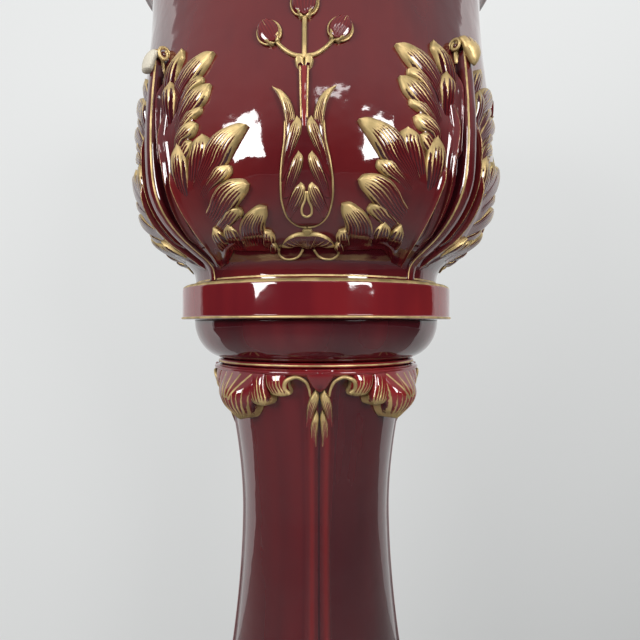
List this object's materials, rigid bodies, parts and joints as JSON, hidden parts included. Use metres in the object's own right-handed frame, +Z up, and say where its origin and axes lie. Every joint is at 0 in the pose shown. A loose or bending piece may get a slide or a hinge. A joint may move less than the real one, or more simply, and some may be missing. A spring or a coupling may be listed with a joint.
{
  "type": "jardiniere on stand",
  "caption": "Round glazed earthenware planter with acanthus leaves and tulip sprigs in relief, resting loose on a waisted hollow pedestal with a leafy capital.",
  "frame": {"origin": "centre of the stand's base, on the floor", "axes": "+Z up along the axis of the stand; a face of the stand, between two capital leaves, looks towards -Y"},
  "size_m": [0.3938, 0.3938, 1],
  "materials": {
    "oxblood_glaze": "deep oxblood majolica glaze, high gloss",
    "gilding": "worn burnished gilding over glaze"
  },
  "bodies": {
    "pedestal": {"base_plinth": "oxblood_glaze", "base_torus": "oxblood_glaze", "base_fillet": "oxblood_glaze", "column_shaft": "oxblood_glaze", "capital_ring": "oxblood_glaze", "collar": "oxblood_glaze", "top_plate": "oxblood_glaze", "capital_leaf_front_right": "oxblood_glaze", "capital_leaf_back_right": "oxblood_glaze", "capital_leaf_back_left": "oxblood_glaze", "capital_leaf_front_left": "oxblood_glaze", "pendant_front": "gilding", "pendant_right": "gilding", "pendant_back": "gilding", "pendant_left": "gilding"},
    "jardiniere": {"bowl": "oxblood_glaze", "acanthus_leaf_front_right": "oxblood_glaze", "acanthus_leaf_back_right": "oxblood_glaze", "acanthus_leaf_back_left": "oxblood_glaze", "acanthus_leaf_front_left": "oxblood_glaze", "tulip_sprig_front": "oxblood_glaze", "tulip_sprig_right": "oxblood_glaze", "tulip_sprig_back": "oxblood_glaze", "tulip_sprig_left": "oxblood_glaze", "palmette_front": "gilding", "palmette_right": "gilding", "palmette_back": "gilding", "palmette_left": "gilding"}
  },
  "joints": [
    {"name": "jardiniere_lift", "type": "slide", "parent": "pedestal", "child": "jardiniere", "axis": [0, 0, 1], "range_m": [0, 0.15]}
  ]
}
